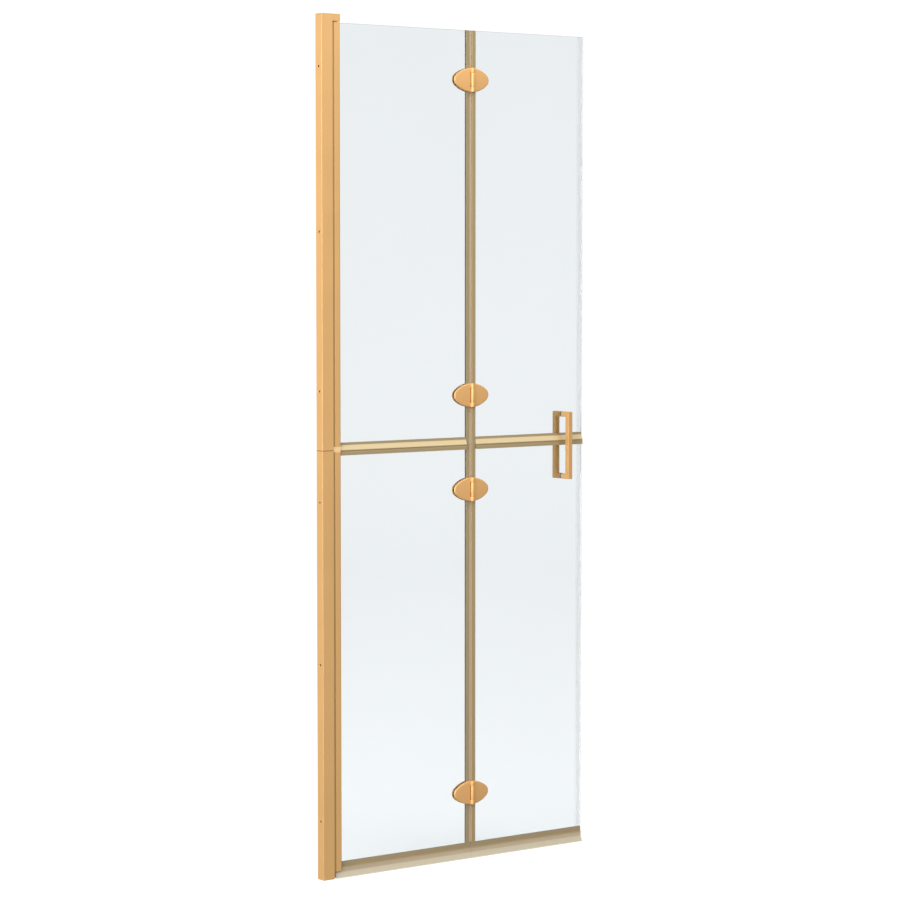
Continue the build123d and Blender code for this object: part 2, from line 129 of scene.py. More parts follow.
class NodeMaker:
    """A node tree in the making, with one method for its nodes."""

    def __init__(self, tree):
        self.tree = tree
        tree.nodes.clear()

    def node(self, kind, settings, inputs, output=0):
        """A node of that kind: its settings first, then the values or links of its sockets."""
        made = self.tree.nodes.new(kind)
        for name, value in settings.items():
            setattr(made, name, value)
        for key, value in inputs.items():
            for one in value if isinstance(value, list) else [value]:
                if isinstance(one, Term):
                    self.tree.links.new(one.socket, made.inputs[key])
                else:
                    made.inputs[key].default_value = one
        return Term(self, made.outputs[output]) if made.outputs else None


class Finish(NodeMaker):
    """A material or a world in the making."""

    def __init__(self, name, family="materials"):
        self.owner = getattr(bpy.data, family).new(name)
        self.owner.use_nodes = True
        super().__init__(self.owner.node_tree)

    def place(self):
        """The point on the piece, in its own coordinates."""
        return self.node("ShaderNodeTexCoord", {}, {}, "Object")

    def bands(self, axis, colour, spans):
        """A colour that changes between some places along an axis, given as low, high, colour."""
        at = self.node("ShaderNodeSeparateXYZ", {}, {0: self.place()}, axis)
        for low, high, other in spans:
            colour = self.blend((at > low) * (at < high), colour, other)
        return colour

    def noise(self, scale, detail=2.0, stretch=(1, 1, 1)):
        """A soft cloud between 0 and 1, in clouds per metre; stretch scales each axis."""
        place = self.node("ShaderNodeMapping", {}, {"Vector": self.place(), "Scale": stretch})
        inputs = {"Vector": place, "Scale": scale, "Detail": detail}
        return self.node("ShaderNodeTexNoise", {}, inputs)

    def blend(self, share, first, second):
        """A colour between two others."""
        inputs = {0: share, 6: first, 7: second}
        return self.node("ShaderNodeMix", {"data_type": "RGBA"}, inputs, 2)

    def relief(self, height, depth):
        """A bump from a height between 0 and 1 and its depth in metres."""
        return self.node("ShaderNodeBump", {}, {"Height": height, "Distance": depth})

    def surface(self, inputs):
        """The finished material, from the sockets of one surface shader."""
        shader = self.node("ShaderNodeBsdfPrincipled", {}, inputs)
        self.node("ShaderNodeOutputMaterial", {}, {"Surface": shader})
        return self.owner


def shade(colour, factor):
    """A colour made lighter or darker, with full opacity."""
    return tuple(min(1.0, channel * factor) for channel in colour[:3]) + (1.0,)


# Finishes
def satin_gold(name, colour, roughness, metal, lines=False, axis="X", bands=()):
    """Satin gold on aluminium: a fine blasted grain, and faint drawing lines on extrusions.
    Bands are painted shade along an axis, given as low, high and how bright they stay."""
    finish = Finish(name)
    cloud = finish.noise(9.0, 3.0)
    grain = finish.noise(1800.0, 2.0)
    stretch = DRAWN_STRETCH if lines else (1, 1, 1)
    drawn = finish.noise(700.0, 3.0, stretch)
    tone = cloud * 0.6 + drawn * 0.4
    relief = grain * 0.5 + drawn * 0.5
    base = finish.blend(tone, shade(colour, 0.94), shade(colour, 1.05))
    shaded = [(low, high, shade(colour, factor)) for low, high, factor in bands]
    return finish.surface({
        "Base Color": finish.bands(axis, base, shaded),
        "Metallic": metal,
        "Roughness": roughness + (cloud - 0.5) * 0.10 + (grain - 0.5) * 0.06,
        "Specular IOR Level": 0.5,
        "Normal": finish.relief(relief, 0.012 * MM),
    })


def clear_glass(settings):
    """Safety glass: a cool tint that drifts very slightly, and a true polish."""
    finish = Finish("clear_glass")
    cloud = finish.noise(2.2, 2.0)
    tint = settings.glass_tint
    return finish.surface({
        "Base Color": finish.blend(cloud, shade(tint, 0.985), shade(tint, 1.015)),
        "Roughness": 0.0,
        "IOR": 1.5,
        "Transmission Weight": 1.0,
        "Normal": finish.relief(finish.noise(3.0, 1.0), 0.05 * MM),
    })


def see_through_plastic(name, colour, roughness, cover, axis="X", bands=()):
    """Soft plastic that lets light through; cover is the share that each of its faces hides.
    Bands are painted light: painted glow where thin walls let light through, and a painted
    highlight on a slope."""
    finish = Finish(name)
    cloud = finish.noise(14.0, 3.0)
    fine = finish.noise(900.0, 2.0)
    base = finish.blend(cloud, shade(colour, 0.95), shade(colour, 1.05))
    return finish.surface({
        "Base Color": finish.bands(axis, base, bands),
        "Roughness": roughness + (fine - 0.5) * 0.12,
        "IOR": 1.5,
        "Coat Weight": 1.0,
        "Coat Roughness": 0.12,
        "Alpha": cover,
        "Normal": finish.relief(fine * 0.5 + cloud * 0.5, 0.01 * MM),
    })


def clear_plastic(name, colour, roughness, cover):
    """Clear plastic with a faint haze; cover is the share that each of its faces hides."""
    finish = Finish(name)
    cloud = finish.noise(14.0, 3.0)
    return finish.surface({
        "Base Color": finish.blend(cloud, shade(colour, 0.97), shade(colour, 1.03)),
        "Roughness": roughness + (cloud - 0.5) * 0.1,
        "Alpha": cover,
    })


def plain_metal(name, colour, roughness):
    """Bare metal with a mill or plating grain."""
    finish = Finish(name)
    grain = finish.noise(1200.0, 3.0)
    cloud = finish.noise(60.0, 3.0)
    return finish.surface({
        "Base Color": finish.blend(cloud, shade(colour, 0.9), shade(colour, 1.05)),
        "Metallic": 1.0,
        "Roughness": roughness + (grain - 0.5) * 0.16,
        "Normal": finish.relief(grain, 0.01 * MM),
    })


def opaque_plastic(name, colour, roughness):
    """Moulded plastic or soft rubber."""
    finish = Finish(name)
    grain = finish.noise(900.0, 3.0)
    cloud = finish.noise(50.0, 2.0)
    return finish.surface({
        "Base Color": finish.blend(cloud, shade(colour, 0.94), shade(colour, 1.04)),
        "Roughness": roughness + (grain - 0.5) * 0.12,
        "Normal": finish.relief(grain, 0.015 * MM),
    })


# Bands in the finishes, where light and shade are painted: a painted highlight on the strip's
# slope above its foot, painted glow at the bottom seal's heights and on the seam's bulb on both
# sides of the fold, and half widths of painted shade at the post's edge and the joint
STRIP_SLOPE = (12 * MM, 22.5 * MM)
SEAL_FIN = (0 * MM, 13 * MM)
SEAL_BODY = (13 * MM, 24 * MM)
SEAM_BULB = (-3.6 * MM, 3.4 * MM)
POST_EDGE = 1.6 * MM
JOINT_EDGE = 0.9 * MM

# Tones against the plain gold or the bulb's painted glow: painted shade in the post's groove,
# at its edge and in the joint's gap; darker copies of the gold for the cap, hinges and handle;
# the painted glow of the seam's bulb and the bottom seal's body; then the other looks
GROOVE_PAINTED_SHADE = 0.6
POST_EDGE_PAINTED_SHADE = 0.7
JOINT_PAINTED_SHADE = 0.45
CAP_TONE = 0.93
HINGE_TONE = 0.92
HANDLE_TONE = 0.82
BULB_GLOW_TONE = 1.22
BODY_GLOW_TONE = 0.86
DRAWN_STRETCH = (1, 1, 0.004)
SEAL_ROUGHNESS = 0.3
SEAL_COVER = 0.78
GASKET_COLOUR = (0.42, 0.34, 0.22)
CLEAR_COLOUR = (0.57, 0.57, 0.59)
PAD_COLOUR = (0.5, 0.5, 0.48)
ALUMINIUM_COLOUR = (0.75, 0.75, 0.76)
STEEL_COLOUR = (0.62, 0.6, 0.57)
NYLON_COLOUR = (0.88, 0.88, 0.86)

finishes = {}


def tinted_finishes(settings):
    """The tinted plastic of the seam's seals, the middle strips and the bottom seals."""
    look = (settings.seal_tint, SEAL_ROUGHNESS, SEAL_COVER)
    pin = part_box("hinge_top_pin")
    fold = (pin[0].x + pin[1].x) / 2
    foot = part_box("middle_strip_inner")[0].z
    # Painted highlight on the strip's slope, where light from above is caught
    glow = shade(settings.slope_painted_highlight, 1.0)
    # Painted glow on the seam's bulb, where light comes through its thin wall
    bright = shade(settings.bulb_painted_glow, BULB_GLOW_TONE)
    bulb = [(fold + SEAM_BULB[0], fold + SEAM_BULB[1], bright)]
    slope = [(foot + STRIP_SLOPE[0], foot + STRIP_SLOPE[1], glow)]
    # Painted glow on the bottom seal's thin fin and hollow body, where light comes through their
    # thin walls
    floor = [
        (*SEAL_FIN, shade(settings.fin_painted_glow, 1.0)),
        (*SEAL_BODY, shade(settings.bulb_painted_glow, BODY_GLOW_TONE)),
    ]
    return {
        "tinted_seal": see_through_plastic("tinted_seal", *look, "X", bulb),
        "tinted_strip": see_through_plastic("tinted_strip", *look, "Z", slope),
        "tinted_foot": see_through_plastic("tinted_foot", *look, "Z", floor),
    }


def make_finishes(settings, groove):
    """Every finish by name, most of them as in the record's slots."""
    finishes.update(tinted_finishes(settings))
    post_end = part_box("post_lower")[1].x
    post_painted_shade = [
        # Painted shade in the groove up the post's front
        (*groove, GROOVE_PAINTED_SHADE),
        # Painted shade on the post's edge, where it turns away from the light
        (post_end - POST_EDGE, post_end + POST_EDGE, POST_EDGE_PAINTED_SHADE),
    ]
    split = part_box("wall_profile_lower")[1].z
    # Painted shade in the gap where the wall profile's halves meet
    joint = [(split - JOINT_EDGE, split + JOINT_EDGE, JOINT_PAINTED_SHADE)]
    gold = settings.gold_colour
    rough = settings.gold_roughness
    metal = settings.gold_metal
    finishes.update({
        "gold_profile": satin_gold("gold_profile", gold, rough, metal, True, "Z", joint),
        "gold_post": satin_gold("gold_post", gold, rough, metal, True, "X", post_painted_shade),
        "gold_cap": satin_gold("gold_cap", shade(gold, CAP_TONE), rough + 0.05, metal),
        "pale_gold": satin_gold("pale_gold", settings.pale_gold, rough + 0.15, 0.3),
        "gold_hinge": satin_gold("gold_hinge", shade(gold, HINGE_TONE), rough + 0.16, metal),
        "gold_handle": satin_gold("gold_handle", shade(gold, HANDLE_TONE), rough + 0.14, metal),
        "clear_glass": clear_glass(settings),
        "clear_gasket": see_through_plastic("clear_gasket", GASKET_COLOUR, 0.3, 0.85),
        "clear_seal": clear_plastic("clear_seal", CLEAR_COLOUR, 0.35, 0.06),
        "soft_pad": see_through_plastic("soft_pad", PAD_COLOUR, 0.4, 0.6),
        "plain_aluminium": plain_metal("plain_aluminium", ALUMINIUM_COLOUR, 0.35),
        "steel": plain_metal("steel", STEEL_COLOUR, 0.28),
        "nylon": opaque_plastic("nylon", NYLON_COLOUR, 0.45),
    })


# Pieces
def add_piece(name, mesh):
    """A mesh as an object of the scene."""
    piece = bpy.data.objects.new(name, mesh)
    bpy.context.scene.collection.objects.link(piece)
    return piece


def settle(piece, nodes, body, slot, look=None):
    """Gives a piece its finish and body, and lets it stand for its CAD nodes."""
    if not piece.data.materials:
        piece.data.materials.append(finishes[look or slot])
    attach(piece, body)
    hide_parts(*nodes)


def paint(node, slot):
    """Gives a CAD piece that stays as it is its finish."""
    piece = frame["nodes"][node]
    piece.data.materials.clear()
    piece.data.materials.append(finishes[slot])


def body_of(node):
    """The body that a CAD node rides on."""
    return frame["nodes"][node]["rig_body"]


def merged(node):
    """A CAD node's triangles as one joined mesh, with its flat faces whole."""
    source = frame["nodes"][node].data
    shape = bmesh.new()
    corners = [shape.verts.new(vertex.co) for vertex in source.vertices]
    for polygon in source.polygons:
        shape.faces.new([corners[index] for index in polygon.vertices])
    bmesh.ops.remove_doubles(shape, verts=shape.verts, dist=SAME_POINT)
    bmesh.ops.dissolve_limit(
        shape, angle_limit=FLAT_ENOUGH, verts=shape.verts, edges=shape.edges
    )
    return shape


def solids(node):
    """The box of each separate solid of a CAD node, from the lowest up."""
    shape = merged(node)
    left = set(shape.verts)
    boxes = []
    while left:
        found = {left.pop()}
        edge = list(found)
        while edge:
            vertex = edge.pop()
            near = {other for link in vertex.link_edges for other in link.verts} & left
            left -= near
            found |= near
            edge.extend(near)
        points = [vertex.co for vertex in found]
        low = Vector([min(point[axis] for point in points) for axis in range(3)])
        high = Vector([max(point[axis] for point in points) for axis in range(3)])
        boxes.append((low, high))
    shape.free()
    return sorted(boxes, key=lambda box: (round(box[0].z, 5), box[0].y, box[0].x))


def sharpen(piece, angle):
    """Shades a piece smoothly, with a hard line at corners from that angle."""
    piece.data.shade_smooth()
    piece.data.set_sharp_from_angle(angle=angle)


def ease(piece, width, segments):
    """Rounds the sharp corners of a piece."""
    bevel = piece.modifiers.new("Eased corners", "BEVEL")
    bevel.width = width
    bevel.segments = segments
    bevel.limit_method = "ANGLE"
    bevel.angle_limit = EASED_FROM
    bevel.use_clamp_overlap = False
    bevel.harden_normals = True


def eased_copy(node, slot, width, look=None, grooves=()):
    """A copy of a CAD piece with grooves cut in it and eased corners, which stands for it."""
    name = node + "_eased"
    piece = add_piece(name, mesh_from(merged(node), name))
    if grooves:
        combine(piece, "DIFFERENCE", grooves)
    sharpen(piece, SHARP_CORNER)
    settle(piece, [node], body_of(node), slot, look)
    ease(piece, width, 2)


def groove_span(edges):
    """Where the groove up the post's front starts and ends, beside the wall profile."""
    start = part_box("wall_profile_lower")[1].x + edges.groove_start
    return start, start + edges.groove_width


def long_block(name, low, high):
    """A plain block between two corners."""
    shape = bmesh.new()
    rings = []
    for z in (low.z, high.z):
        corners = ((low.x, low.y), (high.x, low.y), (high.x, high.y), (low.x, high.y))
        rings.append([shape.verts.new((x, y, z)) for x, y in corners])
    close_rings(shape, rings)
    return add_piece(name, mesh_from(shape, name))


def finished_mesh(piece):
    """Turns a piece and its modifiers into a plain mesh."""
    graph = bpy.context.evaluated_depsgraph_get()
    mesh = bpy.data.meshes.new_from_object(piece.evaluated_get(graph))
    piece.modifiers.clear()
    piece.data = mesh
    return piece


# Panes
CORNER_STEPS = 6


def sheet_shape(low, high, corner, chamfer):
    """A flat sheet in X and Z with round corners, its edges ground to a small chamfer."""
    centres = (
        (high.x - corner, high.z - corner),
        (low.x + corner, high.z - corner),
        (low.x + corner, low.z + corner),
        (high.x - corner, low.z + corner),
    )
    rays = []
    for quarter, (x, z) in enumerate(centres):
        for step in range(CORNER_STEPS + 1):
            angle = math.pi / 2 * (quarter + step / CORNER_STEPS)
            rays.append((x, z, math.cos(angle), math.sin(angle)))
    levels = (
        (low.y, corner - chamfer),
        (low.y + chamfer, corner),
        (high.y - chamfer, corner),
        (high.y, corner - chamfer),
    )
    shape = bmesh.new()
    rings = []
    for y, radius in levels:
        ring = [shape.verts.new((x + radius * c, y, z + radius * s)) for x, z, c, s in rays]
        rings.append(ring)
    close_rings(shape, rings)
    return shape


def close_rings(shape, rings):
    """A closed skin over rings of points, with a flat face at each end."""
    count = len(rings[0])
    for first, second in zip(rings, rings[1:]):
        for index in range(count):
            after = (index + 1) % count
            shape.faces.new((first[index], first[after], second[after], second[index]))
    shape.faces.new(rings[0])
    shape.faces.new(rings[-1])
    bmesh.ops.recalc_face_normals(shape, faces=shape.faces)


# Hinges
CUT_STEPS = 12
BARREL_STEPS = 40
DOME_MIDDLE = 0.45
DOME_RINGS = (0.28, 0.52, 0.72, 0.86, 1.0)


def half_oval_outline(settings, length, cut):
    """Half the oval on the +X side of a cut: two long arcs, the tip, and the straight cut."""
    half = length / 2
    rise = settings.height / 2
    tip = settings.tip_radius
    long_radius = (half * half + rise * rise - 2 * half * tip) / (2 * (rise - tip))
    turn = math.atan2(long_radius - rise, half - tip)
    start = math.asin(cut / long_radius)
    end = math.pi / 2 - turn
    steps = settings.outline_steps // 3
    top = []
    for step in range(steps + 1):
        angle = start + (end - start) * step / steps
        drop = long_radius * (1 - math.cos(angle))
        top.append((long_radius * math.sin(angle), rise - drop))
    end_arc = []
    for step in range(1, steps):
        angle = turn - 2 * turn * step / steps
        end_arc.append((half - tip + tip * math.cos(angle), tip * math.sin(angle)))
    bottom = [(x, -z) for x, z in reversed(top)]
    corner = top[0][1]
    edge = [(cut, -corner + 2 * corner * step / CUT_STEPS) for step in range(1, CUT_STEPS)]
    return top + end_arc + bottom + edge


def plate_shape(settings, length, cut, face, top):
    """Half a domed oval: rings of faces from the middle out, then the side wall and the back."""
    outline = half_oval_outline(settings, length, cut)
    middle = (cut + (length / 2 - cut) * DOME_MIDDLE, 0.0)
    outward = 1 if top > face else -1
    dome = settings.dome_radius
    shape = bmesh.new()
    rim = shape.edges.layers.float.new("bevel_weight_edge")

    def on_dome(x, z):
        drop = dome - math.sqrt(dome * dome - x * x - z * z)
        return (x, top - outward * drop, z)

    rings = []
    for part in DOME_RINGS:
        ring = []
        for x, z in outline:
            across = middle[0] + (x - middle[0]) * part
            ring.append(shape.verts.new(on_dome(across, z * part)))
        rings.append(ring)
    centre = shape.verts.new(on_dome(*middle))
    back = [shape.verts.new((x, face, z)) for x, z in outline]
    count = len(outline)
    for index in range(count):
        after = (index + 1) % count
        shape.faces.new((centre, rings[0][index], rings[0][after]))
        for inner, outer in zip(rings, rings[1:]):
            shape.faces.new((inner[index], outer[index], outer[after], inner[after]))
        shape.faces.new((rings[-1][index], back[index], back[after], rings[-1][after]))
    shape.faces.new(back)
    curved = count - CUT_STEPS
    for index in range(count):
        after = (index + 1) % count
        weight = 1.0 if index < curved else settings.split_edge_share
        shape.edges.get((rings[-1][index], rings[-1][after]))[rim] = weight
        shape.edges.get((back[index], back[after]))[rim] = settings.split_edge_share
    bmesh.ops.recalc_face_normals(shape, faces=shape.faces)
    return shape


def knuckle_shape(settings, root, axis_y, face, span):
    """A round barrel between two heights, on a neck that runs into the plate."""
    radius = settings.knuckle_radius
    neck = settings.knuckle_neck
    start = -math.asin(neck / radius)
    sweep = 1.5 * math.pi - start
    outline = [(root, axis_y + neck)]
    for step in range(BARREL_STEPS + 1):
        angle = start + sweep * step / BARREL_STEPS
        outline.append((radius * math.cos(angle), axis_y - radius * math.sin(angle)))
    outline += [(0, face), (root, face)]
    shape = bmesh.new()
    rings = [[shape.verts.new((x, y, z)) for x, y in outline] for z in span]
    close_rings(shape, rings)
    return shape


def mesh_from(shape, name, place=(0, 0, 0), turn=1):
    """A mesh from a shape, mirrored in X if turn is -1 and moved to its place."""
    move = Matrix.Translation(place) @ Matrix.Diagonal((turn, 1, 1, 1))
    shape.transform(move)
    if turn < 0:
        bmesh.ops.reverse_faces(shape, faces=shape.faces)
    mesh = bpy.data.meshes.new(name)
    shape.to_mesh(mesh)
    shape.free()
    mesh.shade_smooth()
    return mesh


def rounded(shape, name, place, turn, width, segments, by_weight=False):
    """A mesh object from a shape, with its corners rounded into plain faces."""
    piece = add_piece(name, mesh_from(shape, name, place, turn))
    ease(piece, width, segments)
    if by_weight:
        piece.modifiers[0].limit_method = "WEIGHT"
    return finished_mesh(piece)


def combine(piece, operation, others):
    """One closed mesh from a piece and others that are joined to it or cut out of it."""
    for other in others:
        step = piece.modifiers.new(operation.title(), "BOOLEAN")
        step.operation = operation
        step.solver = "EXACT"
        step.object = other
    bpy.context.view_layer.update()
    finished_mesh(piece)
    for other in others:
        bpy.data.objects.remove(other)


def knuckle_spans(settings, side):
    """Heights of the barrels: the folding leaf has the long middle one."""
    middle = settings.middle_knuckle / 2
    if side > 0:
        return [(-middle, middle)]
    clear = middle + settings.knuckle_gap
    end = settings.knuckle_length / 2
    return [(-end, -clear), (clear, end)]


# Screws
ROUND_SIDES = 48
SHANK_SIDES = 32
KEY_SIDES = 6
BACKWARD = (-math.pi / 2, 0.0, 0.0)


class Shaper(NodeMaker):
    """A geometry node group in the making, which puts copies of a shape on points."""

    def __init__(self, name, sizes):
        super().__init__(bpy.data.node_groups.new(name, "GeometryNodeTree"))
        self.take("Points", "NodeSocketGeometry")
        for size in sizes:
            self.take(size, "NodeSocketFloat").default_value = MM
        self.take("Turn", "NodeSocketRotation")
        self.take("Material", "NodeSocketMaterial")
        self.entry = self.tree.nodes.new("NodeGroupInput")

    def take(self, name, kind, side="INPUT"):
        """Adds a named input or output."""
        return self.tree.interface.new_socket(name, in_out=side, socket_type=kind)

    def given(self, name):
        """The value of a named input."""
        return Term(self, self.entry.outputs[name])

    def moved(self, geometry, distance):
        """Geometry moved along Z."""
        move = self.node("ShaderNodeCombineXYZ", {}, {"Z": distance})
        inputs = {"Geometry": geometry, "Translation": move}
        return self.node("GeometryNodeTransform", {}, inputs)

    def rod(self, radius, length, sides=ROUND_SIDES):
        """An upright rod about the origin."""
        inputs = {"Vertices": sides, "Radius": radius, "Depth": length}
        return self.node("GeometryNodeMeshCylinder", {}, inputs, "Mesh")

    def cut(self, geometry, tool):
        """Geometry with the tool's space taken out."""
        settings = {"operation": "DIFFERENCE", "solver": "EXACT"}
        inputs = {"Mesh 1": geometry, "Mesh 2": tool}
        return self.node("GeometryNodeMeshBoolean", settings, inputs, "Mesh")

    def fused(self, geometries):
        """Several solids as one."""
        settings = {"operation": "UNION", "solver": "EXACT"}
        return self.node("GeometryNodeMeshBoolean", settings, {"Mesh 2": geometries}, "Mesh")

    def finish(self, geometry):
        """Puts a copy on each point, makes the copies real and gives them their material."""
        inputs = {"Geometry": geometry, "Rotation": self.given("Turn")}
        turned = self.node("GeometryNodeTransform", {}, inputs)
        inputs = {"Points": self.given("Points"), "Instance": turned}
        placed = self.node("GeometryNodeInstanceOnPoints", {}, inputs)
        real = self.node("GeometryNodeRealizeInstances", {}, {"Geometry": placed})
        inputs = {"Geometry": real, "Material": self.given("Material")}
        painted = self.node("GeometryNodeSetMaterial", {}, inputs)
        self.take("Geometry", "NodeSocketGeometry", "OUTPUT")
        self.node("NodeGroupOutput", {}, {0: painted})
        return self.tree


def screw_tree():
    """A socket head screw on each point: the point is on the seat, under the head."""
    shaper = Shaper("socket_screw", (
        "Head Radius", "Head Height", "Head Chamfer", "Shank Radius", "Shank Length",
        "Key Radius", "Key Depth",
    ))
    height = shaper.given("Head Height")
    chamfer = shaper.given("Head Chamfer")
    radius = shaper.given("Head Radius")
    straight = height - chamfer
    head = shaper.moved(shaper.rod(radius, straight), straight * 0.5)
    crown = shaper.node("GeometryNodeMeshCone", {}, {
        "Vertices": ROUND_SIDES,
        "Radius Top": radius - chamfer,
        "Radius Bottom": radius,
        "Depth": chamfer,
    }, "Mesh")
    crown = shaper.moved(crown, straight)
    length = shaper.given("Shank Length")
    shank = shaper.rod(shaper.given("Shank Radius"), length + MM, SHANK_SIDES)
    shank = shaper.moved(shank, (length * -1.0 + MM) * 0.5)
    solid = shaper.fused([head, crown, shank])
    depth = shaper.given("Key Depth")
    key = shaper.rod(shaper.given("Key Radius"), depth * 2.0, KEY_SIDES)
    return shaper.finish(shaper.cut(solid, shaper.moved(key, height)))


def drill_tree():
    """A plain rod about each point, for cutting holes."""
    shaper = Shaper("drill", ("Radius", "Length"))
    return shaper.finish(shaper.rod(shaper.given("Radius"), shaper.given("Length")))


def ring_tree():
    """A plain ring on each point: the point is in its middle."""
    shaper = Shaper("plain_ring", ("Radius", "Bore", "Thickness"))
    thickness = shaper.given("Thickness")
    disc = shaper.rod(shaper.given("Radius"), thickness)
    hole = shaper.rod(shaper.given("Bore"), thickness * 2.0)
    return shaper.finish(shaper.cut(disc, hole))


def spread(name, tree, points, values):
    """A plain mesh from a node group that puts copies on points."""
    mesh = bpy.data.meshes.new(name)
    mesh.from_pydata([tuple(point) for point in points], [], [])
    piece = add_piece(name, mesh)
    modifier = piece.modifiers.new(tree.name, "NODES")
    modifier.node_group = tree
    for item in tree.interface.items_tree:
        if item.in_out == "INPUT" and item.name in values:
            modifier[item.identifier] = values[item.name]
    bpy.context.view_layer.update()
    finished_mesh(piece)
    sharpen(piece, SHARP_ON_SCREW)
    return piece


# Settings
def metres(name, description, default, low=0.0):
    """A setting in metres."""
    return bpy.props.FloatProperty(
        name=name, description=description, default=default, min=low,
        subtype="DISTANCE", unit="LENGTH",
    )


def fraction(name, description, default):
    """A setting between 0 and 1."""
    return bpy.props.FloatProperty(
        name=name, description=description, default=default, min=0, max=1, subtype="FACTOR"
    )


def swatch(name, description, default):
    """A colour setting."""
    return bpy.props.FloatVectorProperty(
        name=name, description=description, default=default, size=3, min=0, max=1,
        subtype="COLOR",
    )


class FinishSettings(bpy.types.PropertyGroup):
    """Colours and polish of the screen's materials."""

    gold_colour: swatch("Gold", "Colour of the gold finish", (0.88, 0.525, 0.212))
    gold_roughness: fraction("Gold roughness", "From a mirror at 0 to matt at 1", 0.46)
    gold_metal: fraction("Gold metal", "How metallic the gold finish looks", 0.75)
    pale_gold: swatch(
        "Pale gold", "Colour of the moulded block between the posts", (0.88, 0.6, 0.31),
    )
    glass_tint: swatch("Glass tint", "Colour of white light through one pane", (0.8, 0.835, 0.85))
    seal_tint: swatch("Seal tint", "Colour of the tinted plastic", (0.42, 0.315, 0.155))
    # Painted highlight: the slope's colour stands in for light from above caught on it
    slope_painted_highlight: swatch("Glow tint", "Colour of the middle strips' thin slope", (0.84, 0.66, 0.36))
    # Painted glow: the hollow parts' colour stands in for light that comes through their thin
    # walls
    bulb_painted_glow: swatch("Bulb tint", "Colour of the hollow parts of the seals", (0.58, 0.44, 0.26))
    # Painted glow: the fin's colour stands in for light that comes through it
    fin_painted_glow: swatch("Fin tint", "Colour of the bottom seals' thin fin", (0.62, 0.54, 0.39))


class EdgeSettings(bpy.types.PropertyGroup):
    """How far the corners of the pieces are eased."""

    profile_edge: metres("Profile edge", "Rounding of the aluminium sections", 0.5 * MM)
    groove_start: metres(
        "Groove start", "From the wall profile's edge to the post's groove", 1.0 * MM,
    )
    groove_width: metres("Groove width", "Width of the groove up the post's front", 4.8 * MM)
    groove_depth: metres("Groove depth", "Depth of the groove up the post's front", 0.9 * MM)
    glass_edge: metres("Glass edge", "Chamfer of the panes' polished edges", 0.6 * MM)
    glass_corner: metres("Glass corner", "Radius of the panes' corners", 2.0 * MM)
    seal_edge: metres("Seal edge", "Rounding of the seals and strips", 0.2 * MM)
    handle_edge: metres("Handle edge", "Rounding of the handle's bar", 0.9 * MM)


class HingeSettings(bpy.types.PropertyGroup):
    """Shape of the oval hinges."""

    height: metres("Height", "Height of the oval", 54 * MM)
    tip_radius: metres("Tip radius", "Radius of the oval's left and right ends", 15 * MM)
    dome_radius: metres("Dome radius", "Radius of the plates' domed face", 400 * MM, 0.06)
    rim: metres("Rim", "Rounding of the plates' rim", 2.0 * MM)
    split_edge_share: fraction("Split edge", "Rounding at the split, as a share of the rim's", 0.2)
    outline_steps: bpy.props.IntProperty(
        name="Outline steps", description="Straight steps along the curved edge of a plate",
        default=72, min=12,
    )
    pad_thickness: metres("Pad thickness", "Soft pad between a plate and the glass", 1.2 * MM)
    front_thickness: metres(
        "Front thickness", "Thickness of the front plates in the middle", 6.6 * MM,
    )
    knuckle_radius: metres("Knuckle radius", "Radius of the barrels round the pin", 4.5 * MM)
    knuckle_root: metres(
        "Knuckle root", "How far the barrels' feet run into their plate", 0.8 * MM,
    )
    knuckle_neck: metres(
        "Knuckle neck", "How far behind the pin's axis the necks start", 1.4 * MM,
    )
    knuckle_edge: metres("Knuckle edge", "Rounding of the barrels' ends", 0.5 * MM)
    knuckle_gap: metres("Knuckle gap", "Gap between two barrels", 0.3 * MM)
    knuckle_length: metres("Knuckle length", "Length of all the barrels of a hinge", 53.4 * MM)
    middle_knuckle: metres("Middle knuckle", "Length of the middle barrel", 32 * MM)


class FastenerSettings(bpy.types.PropertyGroup):
    """Sizes of the screws, washers and bushes that the boxes of the pieces don't give."""

    clamp_head: metres("Clamp screw head", "Height of the clamp screws' heads", 2.4 * MM)
    clamp_shank: metres("Clamp screw shank", "Radius of the clamp screws' shanks", 2.0 * MM)
    hinge_head: metres("Hinge screw head", "Height of the hinge screws' heads", 3.0 * MM)
    hinge_shank: metres("Hinge screw shank", "Radius of the hinge screws' shanks", 2.5 * MM)
    chamfer: metres("Head chamfer", "Chamfer of the screw heads", 0.45 * MM)
    key_radius: metres("Key", "Corner radius of the hex sockets", 1.6 * MM)
    key_depth: metres("Key depth", "Depth of the hex sockets", 1.7 * MM)
    stud_radius: metres("Stud radius", "Radius of the handle's studs", 3.0 * MM)
    hinge_hole: metres(
        "Hinge hole", "Radius of the holes in the glass for hinge screws", 4.0 * MM,
    )
    handle_hole: metres(
        "Handle hole", "Radius of the holes in the glass for the handle", 5.0 * MM,
    )


